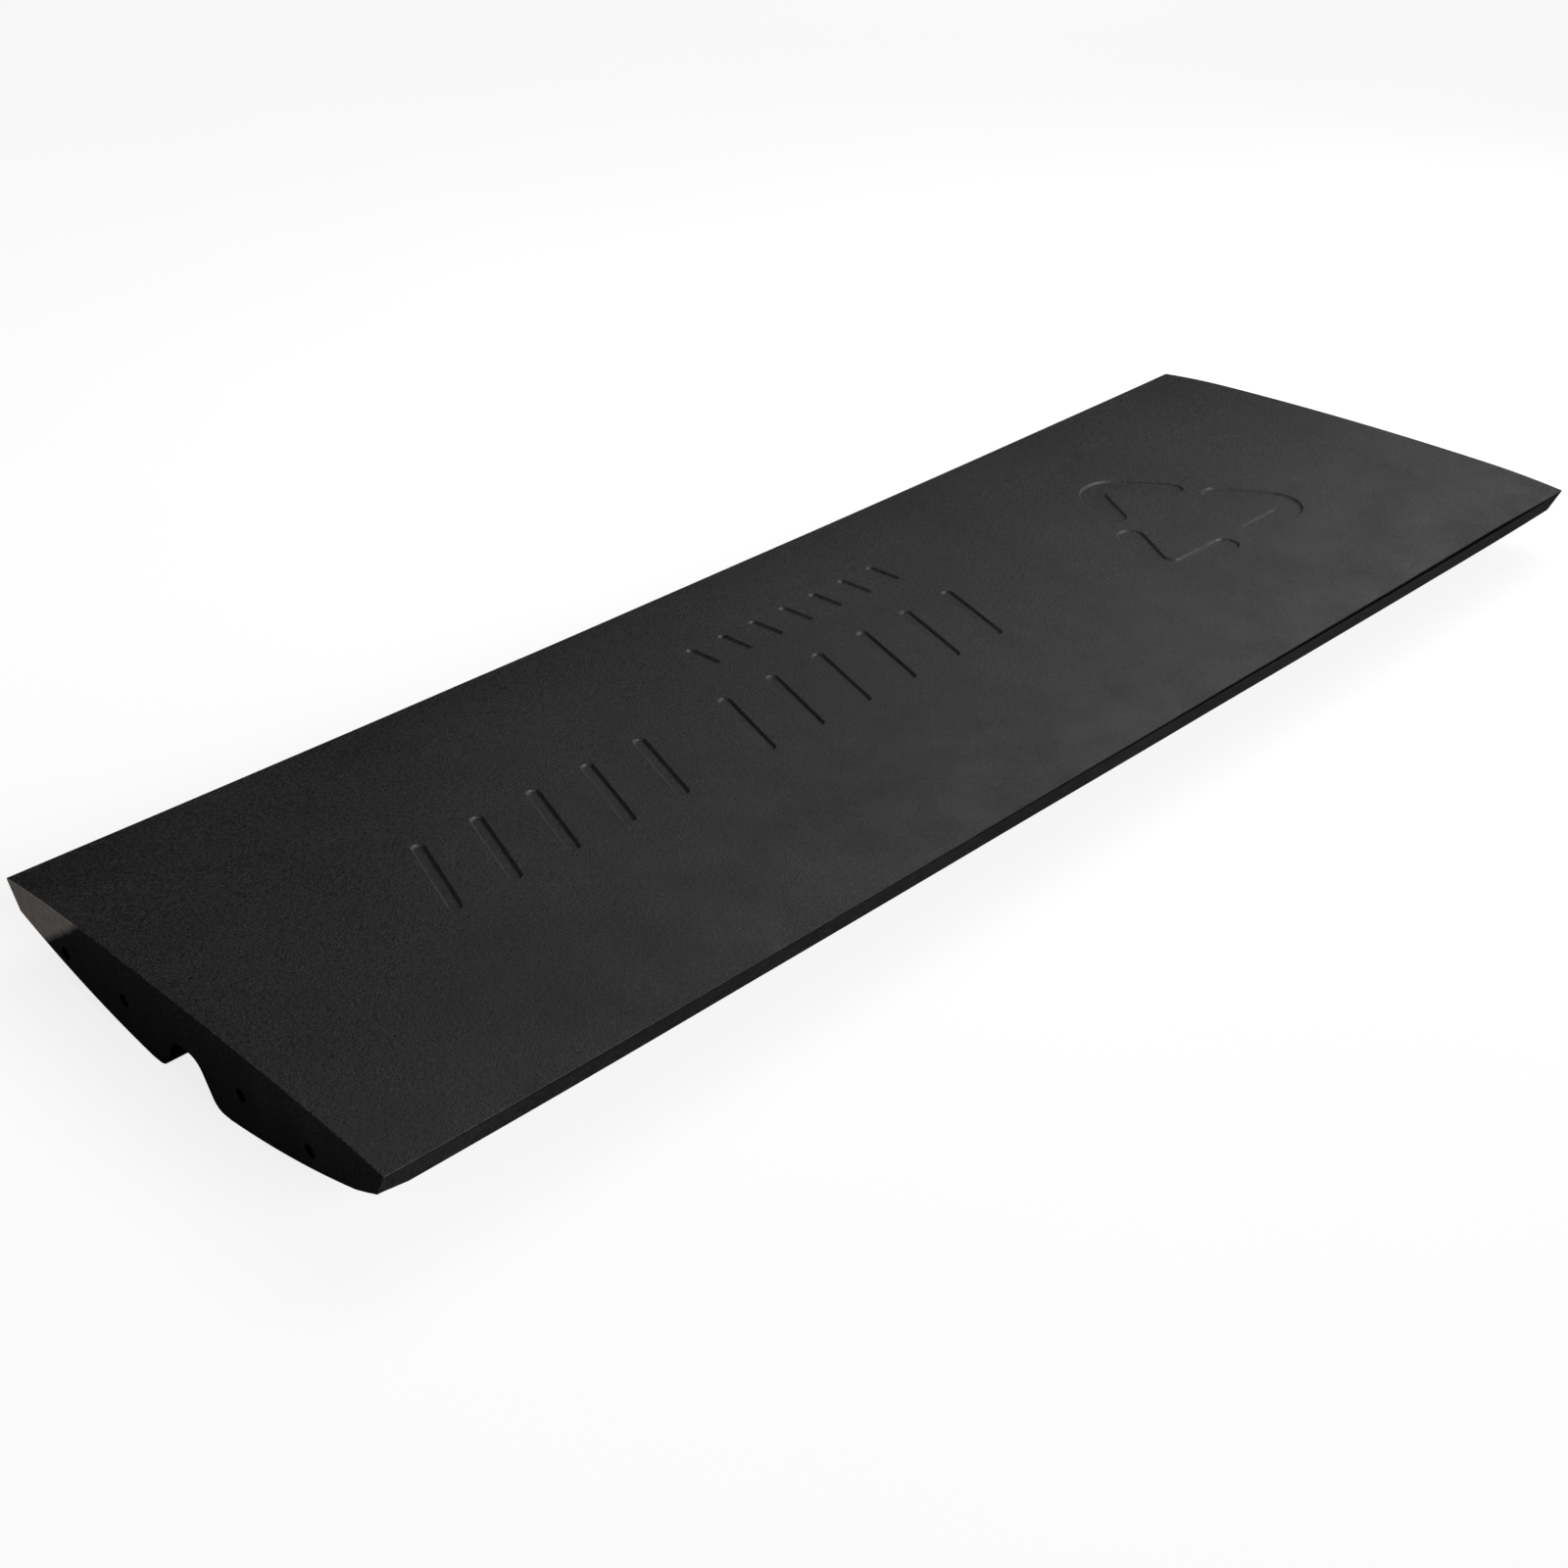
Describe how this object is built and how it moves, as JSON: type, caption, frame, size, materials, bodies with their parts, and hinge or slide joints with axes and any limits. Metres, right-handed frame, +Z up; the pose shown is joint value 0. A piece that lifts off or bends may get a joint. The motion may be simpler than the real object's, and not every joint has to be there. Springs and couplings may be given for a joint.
{
  "type": "curb ramp section",
  "caption": "Moulded rubber curb ramp section with a crowned top, a drain channel underneath, sleeved end sockets and sliding link pins.",
  "frame": {"origin": "under the middle of the slab, on the plane that its two feet stand on", "axes": "+X along the slab, from the end that stores the link pins to the end with open sockets; +Y across it, towards the kerb; +Z up"},
  "size_m": [1.2, 0.414, 0.063],
  "materials": {
    "rubber_black": "moulded, fine pebbled grain, matt",
    "sleeve_black": "plain black nylon tube",
    "pin_steel": "turned, dark oxide finish, lightly oiled"
  },
  "bodies": {
    "slab": {"ramp_body": "rubber_black", "near_sleeve_front_outer": "sleeve_black", "far_sleeve_front_outer": "sleeve_black", "near_sleeve_front_inner": "sleeve_black", "far_sleeve_front_inner": "sleeve_black", "near_sleeve_back_inner": "sleeve_black", "far_sleeve_back_inner": "sleeve_black", "near_sleeve_back_outer": "sleeve_black", "far_sleeve_back_outer": "sleeve_black"},
    "pin_front_outer": {"link_pin_front_outer": "pin_steel"},
    "pin_front_inner": {"link_pin_front_inner": "pin_steel"},
    "pin_back_inner": {"link_pin_back_inner": "pin_steel"},
    "pin_back_outer": {"link_pin_back_outer": "pin_steel"}
  },
  "joints": [
    {"name": "pin_slide_front_outer", "type": "slide", "parent": "slab", "child": "pin_front_outer", "axis": [-1, 0, 0], "range_m": [0, 0.052]},
    {"name": "pin_slide_front_inner", "type": "slide", "parent": "slab", "child": "pin_front_inner", "axis": [-1, 0, 0], "range_m": [0, 0.052]},
    {"name": "pin_slide_back_inner", "type": "slide", "parent": "slab", "child": "pin_back_inner", "axis": [-1, 0, 0], "range_m": [0, 0.052]},
    {"name": "pin_slide_back_outer", "type": "slide", "parent": "slab", "child": "pin_back_outer", "axis": [-1, 0, 0], "range_m": [0, 0.052]}
  ]
}
